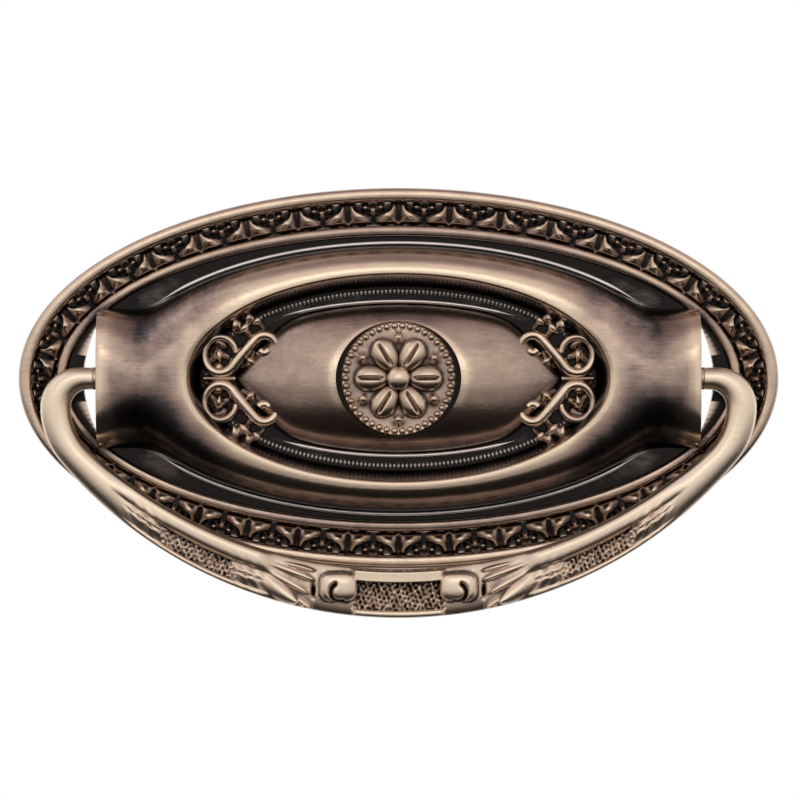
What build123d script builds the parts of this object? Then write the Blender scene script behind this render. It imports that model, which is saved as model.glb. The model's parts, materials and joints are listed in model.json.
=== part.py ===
from build123d import *

import os
from math import acos, atan2, cos, degrees, hypot, radians, sin

# Oval drawer pull: a cast plate with a hollow back, a swinging bail and a rosette that takes the screw.
# The plate stands upright against a drawer front. X runs along the plate, Z is up and the plate faces -Y.
# The back of the plate lies on Y = 0, and the origin is at the mouth of the screw hole.

# Plate outline and the oval mouldings on its border, from the edge inwards
plate_width = 82.5
plate_height = 41.4
flange = 1.1
rim_width = 1.55
rim_height = 2.2
rim_bevel = 0.6
band_width = 2.5
bead_width = 1.25
bead_height = 2.0
bead_bevel = 0.45

# Wall of the cast shell
wall = 1.3

# Dome: an oval swelling whose top edge is the frame round the centre
dome_width = 62.4
dome_height = 28.9
shoulder_width = 57.0
shoulder_height = 27.2
shoulder_level = 4.6
ridge_width = 45.8
ridge_height = 22.8
ridge_level = 7.0

# Barrels: the two half-round sockets of the bail, which flare into the dome
barrel_span = 65.2
barrel_width = 15.2
barrel_level = 7.4
barrel_straight = 5.0
barrel_flare_width = 24.0
barrel_flare_span = 32.0
barrel_flare_share = 0.35
barrel_end_wall = 1.7

# Oval recess inside the ridge and the plain bead on its floor
recess_lip = 0.3
recess_slope = 1.3
recess_level = 4.2
recess_bead_inset = 2.0
recess_bead_width = 0.9
recess_bead_rise = 0.5

# Oval boss in the middle of the recess
boss_length = 34.2
boss_width = 16.2
boss_rise = 3.9
boss_shoulder = 0.75
boss_shoulder_rise = 0.62
boss_top = 0.34

# Leaf band: a raised ring pierced by arches, with a tongue in each arch and a ribbed leaf between them
leaf_count = 34
leaf_rise = 0.65
arch_radius = 1.75
arch_facets = 8
tongue_length = 1.6
tongue_width = 0.95
tongue_widest = 0.45
tongue_root = 0.3
rib_length = 1.7
rib_width = 0.5
rib_widest = 0.7
rib_depth = 0.35
band_margin = 0.15

# Scrolls: four S-shaped bands at the ends of the recess
scroll_width = 0.75
scroll_rise = 1.5
hook_x = 14.4
hook_z = 3.6
hook_radius = 1.25
hook_sweep = 135
volute_x = 19.2
volute_z = 2.7
volute_radius = 1.35
volute_sweep = 300
volute_eye = 0.55
eye_facets = 6

# Windows beside the barrel ends
window_width = 1.6
window_height = 12.4

# Rosette: a flower on a disc, with a tapped post through the plate
rosette_radius = 6.1
rosette_thickness = 1.2
pocket_gap = 0.55
pocket_level = 6.2
stud_count = 22
stud_length = 0.8
stud_width = 0.9
stud_rise = 0.45
petal_count = 6
petal_length = 3.7
petal_width = 2.9
petal_widest = 0.62
petal_rise = 0.8
petal_bevel = 0.5
petal_reach = 0.9
groove_length = 2.4
groove_width = 0.5
groove_depth = 0.45
knob_radius = 1.25
knob_rise = 1.6
bud_length = 1.5
bud_width = 1.1
bud_widest = 0.5
bud_ring = 4.3
bud_rise = 0.6
post_radius = 3.0
post_gap = 0.05
upset_radius = 3.8
upset_thickness = 0.8
screw_radius = 1.65
screw_depth = 5.2

# Bail: two pins, a loop outside each barrel and a bow below the plate
pivot_level = 4.3
pin_radius = 1.2
pin_gap = 0.05
pin_reach = 3.2
bail_side_gap = 0.4
loop_depth = 3.1
loop_width = 3.3
loop_outer_span = 77.4
loop_outer_sweep = 9.0
loop_inner_sweep = 6.5
bail_drop = 25.9
bail_centre_width = 5.3
bail_thickness = 3.1
bail_bevel = 0.7

# Relief on the front of the bail, placed by degrees along the bow from its middle
relief_rise = 0.45
volute_turn = 7.6
volute_disc = 1.7
volute_groove = 0.45
centre_panel_length = 8.2
centre_panel_height = 2.2
centre_panel_drop = 0.5
panel_depth = 0.6
arm_panel_turn = 26.5
arm_panel_length = 8.0
arm_panel_height = 1.6
husk_turn = 10.2
husk_count = 3
husk_spread = 16.0
husk_length = 3.8
husk_width = 1.2
husk_widest = 0.7

# Sketches on this plane read as the front view, and heights rise towards the viewer
face = Plane.XZ
half_width = plate_width / 2
half_height = plate_height / 2
band_inset = rim_width
bead_inset = rim_width + band_width
recess_half_width = ridge_width / 2 - recess_lip
recess_half_height = ridge_height / 2 - recess_lip
pocket_radius = rosette_radius + pocket_gap
front_level = pocket_level + rosette_thickness
bail_shoulder = barrel_span / 2 + bail_side_gap
loop_outer = loop_outer_span / 2
loop_inner = loop_outer - loop_width
bail_front = pivot_level + bail_thickness / 2
bow_bottom = -bail_drop
bow_top = bail_centre_width - bail_drop


def dome(inset):
    """The oval swelling, or its hollow when it is set in by the wall."""
    sections = [
        (dome_width, dome_height, 0),
        (shoulder_width, shoulder_height, shoulder_level - inset),
        (ridge_width, ridge_height, ridge_level - inset),
    ]
    with BuildPart() as form:
        for width, height, level in sections:
            with BuildSketch(face.offset(level)):
                Ellipse(width / 2 - inset, height / 2 - inset)
        loft()
    return form.part


def barrels(inset, end_inset):
    """Both half-round sockets, straight at their ends and flaring towards the dome."""
    end = barrel_span / 2 - end_inset
    flare_start = barrel_span / 2 - barrel_straight
    flare_end = barrel_flare_span / 2
    flare_middle = (flare_start + flare_end) / 2
    sections = [
        (end, barrel_width, barrel_level),
        (flare_start, barrel_width, barrel_level),
        (flare_middle, barrel_width + (barrel_flare_width - barrel_width) * barrel_flare_share, barrel_level),
        (flare_end, barrel_flare_width, ridge_level),
    ]
    with BuildPart() as form:
        for place, width, level in sections:
            with BuildSketch(Plane.YZ.offset(place)):
                Ellipse(level - inset, width / 2 - inset)
                with Locations((-barrel_level, 0)):
                    Rectangle(2 * barrel_level, 2 * barrel_flare_width, mode=Mode.INTERSECT)
        loft()
        mirror(about=Plane.YZ)
    return form.part


def recess(inset):
    """The oval hollow inside the ridge, with a sloping side and a flat floor."""
    with BuildPart() as form:
        with BuildSketch(face.offset(recess_level - inset)):
            Ellipse(recess_half_width - recess_slope + inset, recess_half_height - recess_slope + inset)
        with BuildSketch(face.offset(ridge_level)):
            Ellipse(recess_half_width + inset, recess_half_height + inset)
        loft()
        with BuildSketch(face.offset(ridge_level)):
            Ellipse(recess_half_width + inset, recess_half_height + inset)
        extrude(amount=barrel_level)
    return form.part


def boss(inset):
    """The oval boss on the recess floor, rising in a low vault towards the rosette."""
    sections = [
        (1.0, recess_level),
        (boss_shoulder, recess_level + boss_rise * boss_shoulder_rise),
        (boss_top, recess_level + boss_rise),
    ]
    with BuildPart() as form:
        for share, level in sections:
            with BuildSketch(face.offset(level - inset)):
                Ellipse(share * boss_length / 2 - inset, share * boss_width / 2 - inset)
        loft()
    return form.part


def recess_bead():
    """Plain oval bead on the recess floor, at the foot of the sloping side."""
    outer = recess_bead_inset - recess_bead_width / 2
    inner = recess_bead_inset + recess_bead_width / 2
    with BuildPart() as form:
        with BuildSketch(face.offset(recess_level)):
            Ellipse(ridge_width / 2 - outer, ridge_height / 2 - outer)
            Ellipse(ridge_width / 2 - inner, ridge_height / 2 - inner, mode=Mode.SUBTRACT)
        extrude(amount=recess_bead_rise)
    return form.part


def kite(length, width, widest):
    """Leaf outline with straight sides, its length along the sketch's y and widest at a share of it."""
    across = length * (widest - 0.5)
    with BuildSketch() as outline:
        Polygon((0, -length / 2), (width / 2, across), (0, length / 2), (-width / 2, across), align=None)
    return outline.sketch


def band_places(shift):
    """Places of the leaf units along the middle of the band, each turned to face the centre."""
    middle = band_inset + band_width / 2
    course = Edge.make_ellipse(half_width - middle, half_height - middle)
    places = []
    for index in range(leaf_count):
        along = (index + shift) / leaf_count
        point = course.position_at(along)
        heading = course.tangent_at(along)
        places.append(Location((point.X, point.Y, 0), (0, 0, degrees(atan2(heading.Y, heading.X)))))
    return places


def ring_quarter(inset, width):
    """Quarter of an oval ring, set in from the plate's edge, as a sketch."""
    with BuildSketch() as ring:
        Ellipse(half_width - inset, half_height - inset)
        Ellipse(half_width - inset - width, half_height - inset - width, mode=Mode.SUBTRACT)
        Rectangle(half_width, half_height, align=(Align.MIN, Align.MIN), mode=Mode.INTERSECT)
    return ring.sketch


def moulding(inset, width, height, bevel):
    """Quarter of an oval moulding on the back plane, both front edges bevelled."""
    with BuildPart() as ring:
        with BuildSketch(face):
            add(ring_quarter(inset, width))
        extrude(amount=height)
        front = ring.faces().sort_by(Axis.Y)[0]
        chamfer(front.edges().filter_by(GeomType.ELLIPSE), bevel)
    return ring.part


def border():
    """Rim, leaf-and-dart band and inner bead: one quarter, mirrored about both axes of the oval.

    The band is a raised ring pierced by arches that open towards the rim, with a tongue in each.
    """
    arch_foot = -band_width / 2 + band_margin
    with BuildSketch() as arch:
        with Locations((0, arch_foot)):
            RegularPolygon(arch_radius, arch_facets)
        with Locations((0, arch_foot + arch_radius)):
            Rectangle(4 * arch_radius, 2 * arch_radius, mode=Mode.INTERSECT)
        with Locations((0, arch_foot - tongue_root + tongue_length / 2)):
            add(kite(tongue_length, tongue_width, tongue_widest), mode=Mode.SUBTRACT)
    with BuildPart() as form:
        with BuildSketch(face):
            add(ring_quarter(0, bead_inset + bead_width))
        extrude(amount=flange)
        with BuildSketch(face.offset(flange)):
            add(ring_quarter(rim_width / 2, rim_width / 2 + band_width + bead_width / 2))
            with Locations(*band_places(0)):
                add(arch.sketch, mode=Mode.SUBTRACT)
        extrude(amount=leaf_rise)
        with BuildSketch(face.offset(flange + leaf_rise)):
            with Locations(*band_places(0.5)):
                add(kite(rib_length, rib_width, rib_widest))
        extrude(amount=-rib_depth, mode=Mode.SUBTRACT)
        add(moulding(0, rim_width, rim_height, rim_bevel))
        add(moulding(bead_inset, bead_width, bead_height, bead_bevel))
        mirror(about=Plane.XY)
        mirror(about=Plane.YZ)
    return form.part


def scrolls():
    """Four S-shaped bands: a hook beside the boss runs over into a volute near the end of the recess."""
    reach = hypot(volute_x - hook_x, volute_z - hook_z)
    heading = degrees(atan2(hook_z - volute_z, volute_x - hook_x))
    leave = heading - degrees(acos((hook_radius + volute_radius) / reach))
    with BuildPart() as form:
        with BuildSketch(face.offset(recess_level)):
            with BuildLine():
                hook = CenterArc((hook_x, -hook_z), hook_radius, leave, -hook_sweep)
                volute = CenterArc((volute_x, -volute_z), volute_radius, leave + 180, -volute_sweep)
                Line(hook @ 0, volute @ 0)
            trace(line_width=scroll_width)
            with Locations((volute_x, -volute_z)):
                RegularPolygon(volute_eye, eye_facets)
        extrude(amount=scroll_rise)
        mirror(about=Plane.XY)
        mirror(about=Plane.YZ)
    return form.part


def petals():
    """Six petals of the rosette with bevelled edges and a groove along each."""
    with BuildPart() as form:
        with BuildSketch(face.offset(front_level)):
            with PolarLocations(petal_reach + petal_length / 2, petal_count):
                with Locations(Location((0, 0, 0), (0, 0, -90))):
                    add(kite(petal_length, petal_width, petal_widest))
        extrude(amount=petal_rise)
        chamfer(form.edges().group_by(Axis.Y)[0], petal_bevel)
        with BuildSketch(face.offset(front_level + petal_rise)):
            with PolarLocations(petal_reach + petal_length / 2, petal_count):
                Rectangle(groove_length, groove_width)
        extrude(amount=-groove_depth, mode=Mode.SUBTRACT)
    return form.part


def bow_circle(side, sweep, bottom):
    """Radius and centre height of the bow's arc, which meets the loop's side sweep in a tangent."""
    sweep_place = side - sweep
    fall = -loop_depth - bottom
    radius = (sweep_place**2 + fall**2 - sweep**2) / (2 * (fall - sweep))
    return radius, bottom + radius


def bow_line(side, top, sweep, bottom):
    """One edge line of the bail: over the loop from the pin, down its side and along the bow to the middle.

    The ends of the line are given back.
    """
    radius, level = bow_circle(side, sweep, bottom)
    top_radius = loop_depth + top
    turn = degrees(atan2(-loop_depth - level, side - sweep))
    start = CenterArc((side - top_radius, -loop_depth), top_radius, 90, -90)
    CenterArc((side - sweep, -loop_depth), sweep, 0, turn)
    end = CenterArc((0, level), radius, turn, -90 - turn)
    return start @ 0, end @ 1


def on_bow(turn):
    """Place on the middle line of the bow, a number of degrees from its lowest point."""
    radius, level = bow_circle(
        loop_outer - loop_width / 2,
        (loop_outer_sweep + loop_inner_sweep) / 2,
        (bow_top + bow_bottom) / 2,
    )
    return Location((radius * sin(radians(turn)), level - radius * cos(radians(turn)), 0), (0, 0, turn))


with BuildPart() as hollow:
    add(dome(wall))
    add(barrels(wall, barrel_end_wall))
    add(recess(wall), mode=Mode.SUBTRACT)
    add(boss(wall))
    with BuildSketch(face.offset(pocket_level - wall)):
        Circle(pocket_radius + wall)
    extrude(amount=boss_rise, mode=Mode.SUBTRACT)

with BuildPart() as backplate:
    with BuildSketch(face):
        Ellipse(half_width - bead_inset - bead_width / 2, half_height - bead_inset - bead_width / 2)
    extrude(amount=flange)
    add(dome(0))
    add(barrels(0, 0))
    add(recess(0), mode=Mode.SUBTRACT)
    add(boss(0))
    add(recess_bead())
    add(scrolls())
    with BuildSketch(face.offset(pocket_level)):
        Circle(pocket_radius)
    extrude(amount=boss_rise, mode=Mode.SUBTRACT)
    add(hollow.part, mode=Mode.SUBTRACT)
    with BuildSketch(face):
        Circle(post_radius + post_gap)
    extrude(amount=pocket_level, mode=Mode.SUBTRACT)
    for side in (-1, 1):
        inner = side * barrel_span / 2
        with BuildSketch(face):
            with BuildLine():
                bow = ThreePointArc(
                    (inner, -window_height / 2), (inner + side * window_width, 0), (inner, window_height / 2)
                )
                Line(bow @ 1, bow @ 0)
            make_face()
        extrude(amount=bead_height, mode=Mode.SUBTRACT)
        with BuildSketch(Plane.YZ.offset(inner)):
            with Locations((-pivot_level, 0)):
                Circle(pin_radius + pin_gap)
        extrude(amount=-side * 2 * barrel_end_wall, mode=Mode.SUBTRACT)
    add(border())
backplate.part.label = "backplate"

with BuildPart() as rosette:
    with BuildSketch(face.offset(pocket_level)):
        Circle(rosette_radius)
    extrude(amount=rosette_thickness)
    with BuildSketch(face.offset(front_level)):
        with PolarLocations(rosette_radius - stud_length, stud_count):
            Rectangle(stud_length, stud_width)
    extrude(amount=stud_rise)
    with BuildSketch(face.offset(front_level)):
        with PolarLocations(bud_ring, petal_count, start_angle=180 / petal_count):
            add(kite(bud_width, bud_length, bud_widest))
    extrude(amount=bud_rise)
    add(petals())
    with BuildSketch(face.offset(front_level)):
        Circle(knob_radius)
    extrude(amount=knob_rise)
    chamfer(rosette.edges().group_by(Axis.Y)[0], knob_radius / 2)
    with BuildSketch(face):
        Circle(post_radius)
    extrude(amount=pocket_level)
    with BuildSketch(face.offset(pocket_level - wall)):
        Circle(upset_radius)
    extrude(amount=-upset_thickness)
    with BuildSketch(face):
        Circle(screw_radius)
    extrude(amount=screw_depth, mode=Mode.SUBTRACT)
rosette.part.label = "rosette"

with BuildPart() as bail:
    with BuildSketch(face.offset(pivot_level - bail_thickness / 2)):
        with BuildLine():
            outer_top, outer_end = bow_line(loop_outer, pin_radius, loop_outer_sweep, bow_bottom)
            inner_top, inner_end = bow_line(loop_inner, -pin_radius, loop_inner_sweep, bow_top)
            Line(outer_end, inner_end)
            Polyline(outer_top, (bail_shoulder, pin_radius), (bail_shoulder, -pin_radius), inner_top)
        make_face()
        mirror(about=Plane.YZ)
    extrude(amount=bail_thickness)
    chamfer(bail.faces().filter_by(Axis.Y).edges().filter_by(GeomType.CIRCLE), bail_bevel)
    with BuildSketch(Plane.YZ.offset(bail_shoulder)):
        with Locations((-pivot_level, 0)):
            Circle(pin_radius)
    extrude(amount=barrel_span / 2 - pin_reach - bail_shoulder)
    mirror(about=Plane.YZ)
    with BuildSketch(face.offset(bail_front)):
        with Locations((0, (bow_top + bow_bottom) / 2 - centre_panel_drop)):
            Rectangle(centre_panel_length, centre_panel_height)
        for side in (-1, 1):
            with Locations(on_bow(side * arm_panel_turn)):
                Rectangle(arm_panel_length, arm_panel_height)
    extrude(amount=-panel_depth, mode=Mode.SUBTRACT)
    with BuildSketch(face.offset(bail_front)):
        for side in (-1, 1):
            with Locations(on_bow(side * volute_turn)):
                Circle(volute_disc)
                Circle(volute_disc - volute_groove, mode=Mode.SUBTRACT)
                Circle(volute_disc - 2 * volute_groove)
            for index in range(husk_count):
                lean = husk_spread * (index - (husk_count - 1) / 2)
                with Locations(on_bow(side * husk_turn) * Location((0, 0, 0), (0, 0, lean - side * 90))):
                    with Locations((0, husk_length / 2)):
                        add(kite(husk_length, husk_width, husk_widest))
    extrude(amount=relief_rise)
bail.part.label = "bail"

os.makedirs("parts", exist_ok=True)
export_step(backplate.part, "parts/backplate.step")
export_step(rosette.part, "parts/rosette.step")
export_step(bail.part, "parts/bail.step")
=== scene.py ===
# %% [markdown]
# # An oval drawer pull in antique brass
# The pull is a cast oval plate with a leaf border and a domed middle, a flower rosette on a post, and a
# bail that swings on two pins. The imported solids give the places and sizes. Each piece here is a finer form
# of its solid, made in millimetres and turned into metres at the end, so the numbers read like the maker's
# drawing.

# %% Load the solids
import json
import math
from contextlib import contextmanager

import bmesh
import bpy
import numpy as np
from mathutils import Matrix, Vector

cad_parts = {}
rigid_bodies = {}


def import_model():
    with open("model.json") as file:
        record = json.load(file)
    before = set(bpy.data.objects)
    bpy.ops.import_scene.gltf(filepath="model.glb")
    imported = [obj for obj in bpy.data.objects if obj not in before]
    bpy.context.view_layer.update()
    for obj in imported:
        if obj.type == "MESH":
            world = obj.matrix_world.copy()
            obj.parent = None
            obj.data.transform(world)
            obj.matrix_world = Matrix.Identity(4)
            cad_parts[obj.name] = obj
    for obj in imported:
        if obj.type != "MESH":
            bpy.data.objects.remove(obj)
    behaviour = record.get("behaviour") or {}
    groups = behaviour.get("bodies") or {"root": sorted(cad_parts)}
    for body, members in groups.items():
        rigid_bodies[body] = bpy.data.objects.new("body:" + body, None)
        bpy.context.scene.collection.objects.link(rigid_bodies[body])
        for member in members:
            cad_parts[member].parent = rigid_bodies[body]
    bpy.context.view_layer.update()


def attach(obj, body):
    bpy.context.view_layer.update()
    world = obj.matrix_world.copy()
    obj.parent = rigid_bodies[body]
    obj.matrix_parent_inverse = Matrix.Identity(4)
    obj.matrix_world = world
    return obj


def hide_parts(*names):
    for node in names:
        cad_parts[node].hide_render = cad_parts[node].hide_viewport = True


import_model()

MM = 0.001
TURN = 2 * math.pi
PINPOINT = 0.004

# %% [markdown]
# ## Helpers for meshes
# Most of this casting is relief: a height over a flat drawing. A grid of points is then the plainest way to
# make it. The rows follow the lines that a carver would draw, such as the rim or the edge of the recess, so
# an edge falls on a row of points and stays crisp. The height is measured forward from the back of the
# plate. A ring with the radius PINPOINT stands for a point.

# %% Grids and tubes


def link(data):
    """Object in the scene for a mesh, a camera or a lamp."""
    piece = bpy.data.objects.new(data.name, data)
    bpy.context.collection.objects.link(piece)
    return piece


def grid_mesh(name, x, height, z, close_rows=False):
    """Mesh over a grid whose columns close on themselves; the rows close too where asked."""
    rows, columns = x.shape
    points = np.stack([x, -height, z], -1).reshape(-1, 3) * MM
    row = np.arange(rows if close_rows else rows - 1)[:, None]
    column = np.arange(columns)[None, :]
    after = (column + 1) % columns
    below = (row + 1) % rows
    corners = [row * columns + column, row * columns + after,
               below * columns + after, below * columns + column]
    faces = np.stack(np.broadcast_arrays(*corners), -1).reshape(-1, 4)
    mesh = bpy.data.meshes.new(name)
    mesh.from_pydata(points.tolist(), [], faces.tolist())
    return mesh


def plain_mesh(piece, name):
    """What an object's modifiers make of it, as a plain mesh; the object goes, with its old mesh."""
    made = bpy.data.meshes.new_from_object(piece.evaluated_get(bpy.context.evaluated_depsgraph_get()))
    piece.modifiers.clear()
    bpy.data.meshes.remove(piece.data)
    made.name = name
    return made


def stand_up(mesh):
    """Turns a mesh that was made lying flat so that it faces forward."""
    for vert in mesh.vertices:
        vert.co = (vert.co.x, -vert.co.z, vert.co.y)


@contextmanager
def edited(mesh):
    """Opens a mesh for editing and writes the result back."""
    shape = bmesh.new()
    shape.from_mesh(mesh)
    yield shape
    shape.to_mesh(mesh)
    shape.free()


def face_outward(mesh, merge=0.0):
    """Joins points that lie together and turns every face outward."""
    with edited(mesh) as shape:
        if merge:
            bmesh.ops.remove_doubles(shape, verts=shape.verts, dist=merge * MM)
            bmesh.ops.dissolve_degenerate(shape, edges=shape.edges, dist=merge * MM * 0.5)
        bmesh.ops.recalc_face_normals(shape, faces=shape.faces)


def tube(name, path, radii, flatten=1.0, sides=12):
    """Closed tube along a path of x, height and z; its end rings shrink to a point."""
    path = np.asarray(path, float)
    path = np.vstack([path[:1], path, path[-1:]])
    radii = np.concatenate([[1e-3], radii, [1e-3]])[:, None]
    along = np.gradient(path[:, [0, 2]], axis=0)
    along /= np.linalg.norm(along, axis=1)[:, None] + 1e-9
    angle = np.linspace(0, TURN, sides, endpoint=False)
    side, lift = radii * np.cos(angle), radii * np.sin(angle) * flatten
    return grid_mesh(name, path[:, 0:1] - along[:, 1:2] * side, path[:, 1:2] + lift,
                     path[:, 2:3] + along[:, 0:1] * side)


def smooth_step(value, low, high):
    """0 below low, 1 above high, with a soft change between them."""
    share = np.clip((value - low) / (high - low), 0, 1)
    return share * share * (3 - 2 * share)


def plateau(value, start, full, fall, end):
    """0 before start, 1 from full to fall and 0 again past end, with soft changes."""
    return smooth_step(value, start, full) * (1 - smooth_step(value, fall, end))


def between(one, other, share):
    """Half-axes of the oval that lies a share of the way from one oval to another."""
    return [start + (end - start) * share for start, end in zip(one, other)]


def bell(distance, width):
    """1 in the middle, falling softly to 0 on both sides."""
    return np.exp(-((distance / width) ** 2))


def soft_max(one, other, width):
    """The higher of two heights, with the crease between them filled by a cove of a given width."""
    share = np.clip(0.5 + 0.5 * (one - other) / width, 0, 1)
    return other + (one - other) * share + width * share * (1 - share)


def join(name, meshes):
    """One mesh from several."""
    joined = bpy.data.meshes.new(name)
    with edited(joined) as shape:
        for mesh in meshes:
            shape.from_mesh(mesh)
            bpy.data.meshes.remove(mesh)
    return joined


print("helpers ready")

# %% [markdown]
# ## Antique brass
# Antique brass is brass that was darkened all over and then rubbed back: crests show warm metal, hollows
# stay nearly black, and the flats between are a purple brown. The rubbing depends on the shape, so each
# mesh first gets a value called relief: how far a point stands above the average of the points around it.
# The finish reads that value, breaks it up with noise, and adds fine streaks along X where the metal was
# brushed.

# %% Relief value


def read_points(mesh):
    """The mesh's points in millimetres."""
    points = np.empty(len(mesh.vertices) * 3)
    mesh.vertices.foreach_get("co", points)
    return points.reshape(-1, 3) / MM


def read_normals(mesh):
    """The mesh's directions at its points."""
    normals = np.empty(len(mesh.vertices) * 3)
    mesh.vertex_normals.foreach_get("vector", normals)
    return normals.reshape(-1, 3)


def stands_out(mesh, rounds):
    """How far each point stands in front of the average of the points round it, in millimetres."""
    count = len(mesh.vertices)
    points = read_points(mesh)
    ends = np.empty(len(mesh.edges) * 2, np.int64)
    mesh.edges.foreach_get("vertices", ends)
    first, second = ends[0::2], ends[1::2]
    links = np.bincount(first, minlength=count) + np.bincount(second, minlength=count)
    average = points.copy()
    for _ in range(rounds):
        total = np.zeros_like(average)
        for axis in range(3):
            total[:, axis] = np.bincount(first, average[second, axis], count)
            total[:, axis] += np.bincount(second, average[first, axis], count)
        average = total / np.maximum(links, 1)[:, None]
    return ((points - average) * read_normals(mesh)).sum(1)


map_width, map_height = 42, 27


def cells_of(points, cell, half):
    """Row and column of the map's cell under each point."""
    return tuple((np.rint(points[:, [0, 2]] / cell).astype(int) + half).T)


def height_map(meshes, cell):
    """Front height of several meshes on a grid of square cells, with small gaps filled."""
    half = (int(map_width / cell), int(map_height / cell))
    top = np.full((2 * half[0] + 1, 2 * half[1] + 1), -1.0)
    for mesh in meshes:
        points = read_points(mesh)
        np.maximum.at(top, cells_of(points, cell, half), -points[:, 1])
    for _ in range(5):
        spread = np.maximum.reduce([np.roll(top, step, axis) for axis in (0, 1) for step in (-1, 1)])
        top = np.where(top < 0, spread, top)
    return np.maximum(top, 0), half


def soften(grid, reach):
    """The grid averaged over a square of cells, three times, which is close to a round blur."""
    for _ in range(3):
        for axis in (0, 1):
            grid = sum(np.roll(grid, step, axis) for step in range(-reach, reach + 1)) / (2 * reach + 1)
    return grid


def rub(pieces, fine_scale, broad_scale, back, cell=0.3, reach=3):
    """Stores the relief value on pieces of one body: 0.5 is level, less is hollow, more is a crest."""
    top, half = height_map([piece.data for piece in pieces], cell)
    pad = 0.6 * soften(top, reach) + 0.4 * soften(top, 3 * reach)
    for piece in pieces:
        mesh = piece.data
        points = read_points(mesh)
        ahead = -read_normals(mesh)[:, 1]
        facing = np.clip(ahead, 0.1, 1) ** 2
        sunk = pad[cells_of(points, cell, half)] + points[:, 1]
        value = 0.5 + fine[piece.name] / fine_scale - np.clip(sunk, -0.9, 3.0) * facing / broad_scale
        value = np.where(ahead < -0.3, back, value)
        layer = mesh.attributes.new("relief", "FLOAT", "POINT")
        layer.data.foreach_set("value", np.clip(value, 0, 1).astype(np.float32))
        print(piece.name, "relief", np.round(np.percentile(value, [5, 50, 95]), 2))


fine = {}
print("relief map of", 2 * map_width, "by", 2 * map_height, "mm")

# %% [markdown]
# ## The finish itself
# The darkening on the real part is a thin chemical film over plain brass, so the shader stays a metal
# everywhere and only its colour and gloss change. Five tones run from the film in the hollows to bare metal
# on the crests. Noise in the object's own coordinates breaks the steps between them, and bare metal is
# smoother than the film.

# %% Brass finish


def add_node(tree, kind, inputs=None, **settings):
    """Node with its settings; each of its inputs takes a value, a socket or the first output of a node."""
    node = tree.nodes.new(kind)
    for name, value in settings.items():
        if name in node.inputs:
            node.inputs[name].default_value = value
        else:
            setattr(node, name, value)
    for name, value in (inputs or {}).items():
        if isinstance(value, bpy.types.Node):
            value = value.outputs[0]
        if isinstance(value, bpy.types.NodeSocket):
            tree.links.new(value, node.inputs[name])
        else:
            node.inputs[name].default_value = value
    return node


def calculate(tree, operation, *values, kind="ShaderNodeMath", **settings):
    """Math node on the values in turn."""
    return add_node(tree, kind, dict(enumerate(values)), operation=operation, **settings)


def set_ramp(node, marks):
    """Gives a colour ramp its stops and their tones."""
    elements = node.color_ramp.elements
    for index, (stop, tone) in enumerate(marks):
        mark = elements[index] if index < 2 else elements.new(stop)
        mark.position = stop
        mark.color = (*tone, 1.0)


def new_material(name):
    """Material with nodes; gives it with its node tree and its shader."""
    material = bpy.data.materials.new(name)
    material.use_nodes = True
    return material, material.node_tree, material.node_tree.nodes["Principled BSDF"]


tone_stops = (0.12, 0.34, 0.5, 0.66, 0.9)
cloud_share, streak_share = 0.3, 0.2


def antique_brass(name, tones, dull, polished, streak_along=(1.0, 14.0, 14.0)):
    """Darkened and rubbed brass: tones run from the deepest hollow to the sharpest crest."""
    material, tree, shader = new_material(name)
    shader.inputs["Metallic"].default_value = 1.0
    place = add_node(tree, "ShaderNodeTexCoord").outputs["Object"]
    relief = add_node(tree, "ShaderNodeAttribute", attribute_name="relief").outputs["Fac"]

    cloud = add_node(tree, "ShaderNodeTexNoise", {"Vector": place}, Scale=420.0, Detail=5.0, Roughness=0.6)
    stretch = add_node(tree, "ShaderNodeMapping", {"Vector": place}, Scale=streak_along)
    streak = add_node(tree, "ShaderNodeTexNoise", {"Vector": stretch},
                      Scale=210.0, Detail=4.0, Roughness=0.65)
    broken = calculate(tree, "MULTIPLY_ADD", cloud, cloud_share, relief)
    brushed = calculate(tree, "MULTIPLY_ADD", streak, streak_share, broken)
    level = calculate(tree, "SUBTRACT", brushed, (cloud_share + streak_share) / 2)

    colour = add_node(tree, "ShaderNodeValToRGB", {"Fac": level})
    set_ramp(colour, zip(tone_stops, tones))
    polish = add_node(tree, "ShaderNodeMapRange", {"Value": level, "From Min": 0.2, "From Max": 0.85,
                                                   "To Min": dull, "To Max": polished})
    grain = add_node(tree, "ShaderNodeTexNoise", {"Vector": place}, Scale=2600.0, Detail=3.0)
    skin = calculate(tree, "ADD", grain, streak)
    dents = add_node(tree, "ShaderNodeBump", {"Height": skin}, Strength=0.09, Distance=0.00012)
    for target, node in (("Base Color", colour), ("Roughness", polish), ("Normal", dents)):
        tree.links.new(node.outputs[0], shader.inputs[target])
    return material


plate_tones = [(0.02, 0.0188, 0.0188), (0.11, 0.099, 0.10), (0.38, 0.29, 0.255),
               (0.56, 0.44, 0.355), (0.80, 0.66, 0.52)]
bail_tones = [(0.016, 0.0152, 0.016), (0.17, 0.155, 0.16), (0.78, 0.63, 0.515),
              (0.87, 0.73, 0.59), (0.94, 0.81, 0.66)]
plate_brass = antique_brass("antique plate brass", plate_tones, 0.31, 0.2)
bail_brass = antique_brass("antique bail brass", bail_tones, 0.44, 0.32, streak_along=(5.0, 8.0, 5.0))
rosette_brass = antique_brass("antique rosette brass", plate_tones, 0.42, 0.26, streak_along=(6.0, 6.0, 6.0))
# Greyer, cooler tones for the recess beads and the thin lines: a painted cool sheen that stands in for the
# bluish glint on these small forms.
cool_sheen_tones = [(0.03, 0.029, 0.031), (0.17, 0.163, 0.170), (0.42, 0.40, 0.405),
              (0.62, 0.59, 0.59), (0.82, 0.78, 0.77)]
cool_sheen_brass = antique_brass("antique worn brass", cool_sheen_tones, 0.42, 0.3)
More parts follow.
